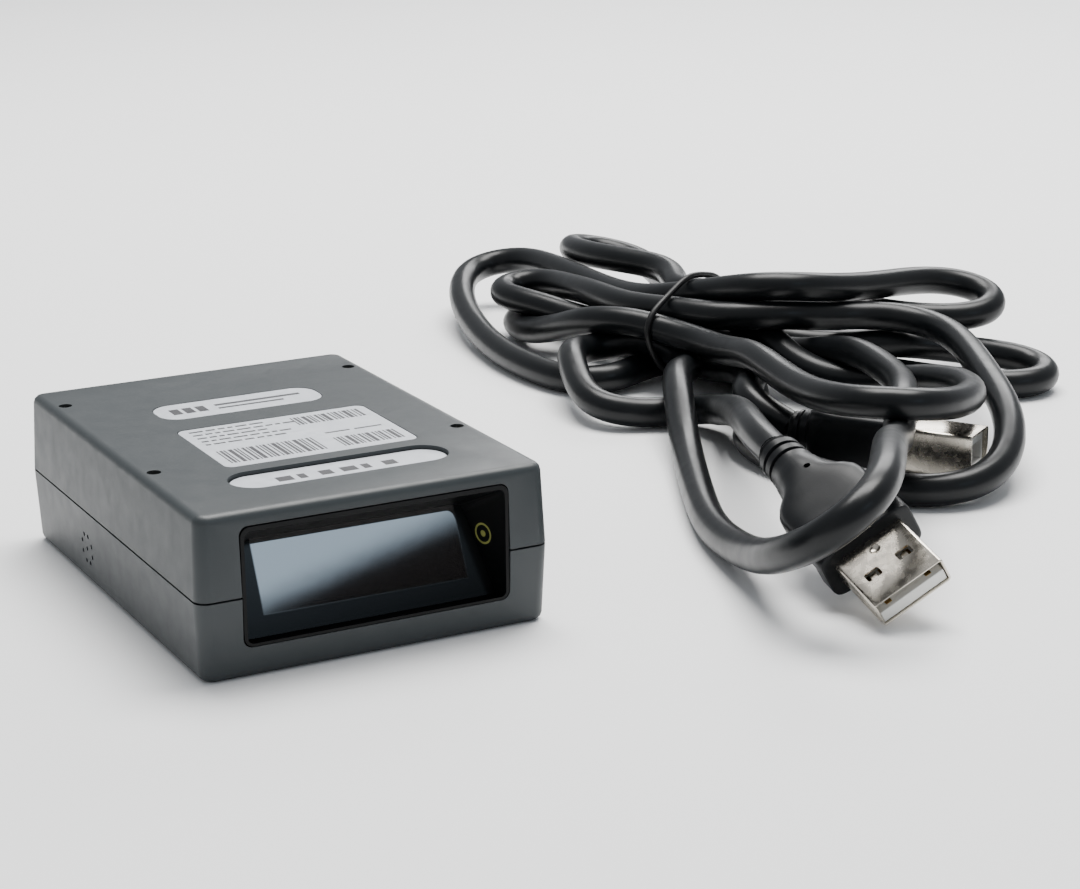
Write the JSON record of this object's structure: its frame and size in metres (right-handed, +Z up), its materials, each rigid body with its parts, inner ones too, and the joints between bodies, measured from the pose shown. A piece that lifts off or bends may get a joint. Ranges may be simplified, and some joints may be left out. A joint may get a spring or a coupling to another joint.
{
  "type": "laser scanner module",
  "caption": "Flat box-shaped fixed-mount laser scanner with a slanted dark window in a flared recess, two-shell case, oscillating mirror engine inside, and a tied USB lead beside it.",
  "frame": {"origin": "middle of the scanner's underside, on the surface it stands on", "axes": "+Z up through the mounting face, -Y out of the laser window, +X to the right seen from the window side"},
  "size_m": [0.2, 0.2131, 0.0245],
  "materials": {
    "casing": "fine matte moulded, dark grey",
    "hood_black": "smooth satin black",
    "dark_glass": "polished dark tinted window",
    "label_silver": "printed silver film",
    "brass": "turned",
    "steel": "bright",
    "nickel": "nickel plated",
    "circuit_board": "green solder mask",
    "chip_black": "moulded epoxy",
    "cast_zinc": "die cast, bare",
    "mirror_face": "first-surface mirror",
    "clear_glass": "polished",
    "red_glass": "red filter glass",
    "magnet": "nickel-grey magnet",
    "copper": "enamelled copper winding",
    "white_plastic": "moulded",
    "polyimide": "amber film",
    "cord_black": "satin PVC jacket",
    "tie_black": "satin",
    "plug_black": "satin moulded overmould",
    "plug_shell": "nickel-plated, faint warm tint"
  },
  "bodies": {
    "scanner": {"board_ribbon_socket": "white_plastic", "board_screw_1": "steel", "board_screw_2": "steel", "buzzer": "chip_black", "capacitor_1": "chip_black", "capacitor_2": "chip_black", "case_screw_1": "steel", "case_screw_2": "steel", "case_screw_3": "steel", "case_screw_4": "steel", "coil_core": "steel", "collector_lens": "clear_glass", "collimator_lens": "clear_glass", "crystal": "steel", "data_label": "label_silver", "decoder_chip": "chip_black", "drive_coil": "copper", "engine_board": "circuit_board", "engine_chassis": "cast_zinc", "engine_ribbon_socket": "white_plastic", "engine_screw_1": "steel", "engine_screw_2": "steel", "laser_barrel": "brass", "laser_diode": "steel", "laser_driver_chip": "chip_black", "lead_front_loop": "cord_black", "lead_hank": "cord_black", "lead_side_loop": "cord_black", "lead_tie": "tie_black", "lead_usb_a_run": "cord_black", "lead_usb_b_run": "cord_black", "light_filter": "red_glass", "lower_shell": "casing", "main_board": "circuit_board", "memory_chip": "chip_black", "mount_insert_1": "brass", "mount_insert_2": "brass", "mount_insert_3": "brass", "mount_insert_4": "brass", "name_plate": "label_silver", "photodiode": "chip_black", "pivot_post": "steel", "ribbon_cable": "polyimide", "slot_label": "label_silver", "upper_shell": "casing", "usb_a_grip": "plug_black", "usb_a_shell": "plug_shell", "usb_a_tongue": "white_plastic", "usb_b_grip": "plug_black", "usb_b_insert": "white_plastic", "usb_b_shell": "plug_shell", "usb_chip": "chip_black", "usb_socket_insert": "white_plastic", "usb_socket_shell": "nickel", "window_hood": "hood_black", "window_mask": "hood_black", "window_pane": "dark_glass"},
    "mirror": {"scan_mirror": "mirror_face", "mirror_carrier": "hood_black", "drive_magnet": "magnet"}
  },
  "joints": [
    {"name": "mirror_swing", "type": "hinge", "parent": "scanner", "child": "mirror", "pos_m": [-0.0017, -0.0123, 0.0126], "axis": [0, 0, 1], "range_deg": [-15, 15], "stiffness_Nm_per_rad": 0.0002}
  ]
}
